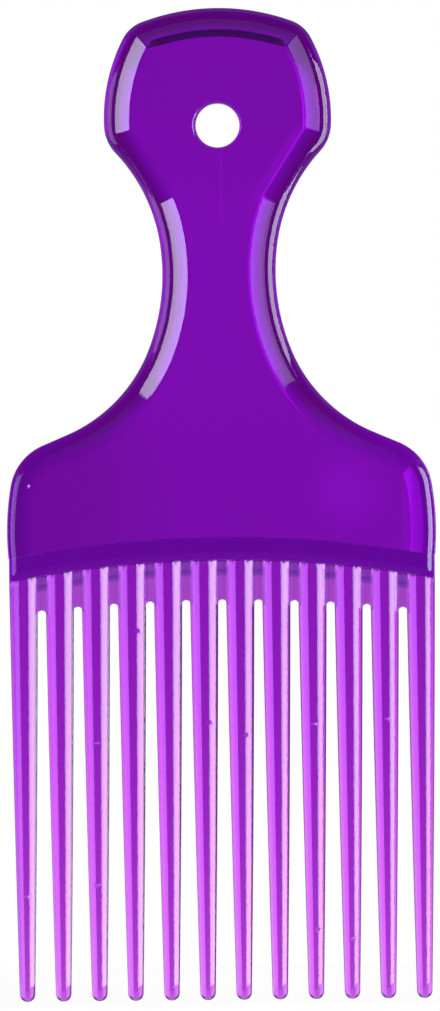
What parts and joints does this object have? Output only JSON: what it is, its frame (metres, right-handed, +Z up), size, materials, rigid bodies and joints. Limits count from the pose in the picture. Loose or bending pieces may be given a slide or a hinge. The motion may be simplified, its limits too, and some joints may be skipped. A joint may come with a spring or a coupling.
{
  "type": "afro pick",
  "caption": "Wide-toothed afro pick in clear tinted plastic: flat waisted handle with a raised bevelled rim and a hanging hole, over a row of long tapered teeth.",
  "frame": {"origin": "centre of the hanging hole, in the middle of the panel's thickness", "axes": "+Z up the handle, away from the teeth; +Y out of the back, so the front faces -Y; X across the teeth"},
  "size_m": [0.0734, 0.005, 0.1698],
  "materials": {
    "panel": "clear tinted, polished",
    "rim": "clear tinted, polished",
    "teeth": "clear tinted, polished"
  },
  "bodies": {
    "root": {"head_panel": "panel", "neck_panel": "panel", "shoulder_panel": "panel", "rim_crown": "rim", "rim_head_left": "rim", "rim_head_right": "rim", "rim_neck_left": "rim", "rim_neck_right": "rim", "rim_shoulder_left": "rim", "rim_shoulder_right": "rim", "tooth_bar": "rim", "tine_01": "teeth", "tine_02": "teeth", "tine_03": "teeth", "tine_04": "teeth", "tine_05": "teeth", "tine_06": "teeth", "tine_07": "teeth", "tine_08": "teeth", "tine_09": "teeth", "tine_10": "teeth", "tine_11": "teeth", "tine_12": "teeth", "web_01": "teeth", "web_02": "teeth", "web_03": "teeth", "web_04": "teeth", "web_05": "teeth", "web_06": "teeth", "web_07": "teeth", "web_08": "teeth", "web_09": "teeth", "web_10": "teeth", "web_11": "teeth"}
  },
  "joints": []
}
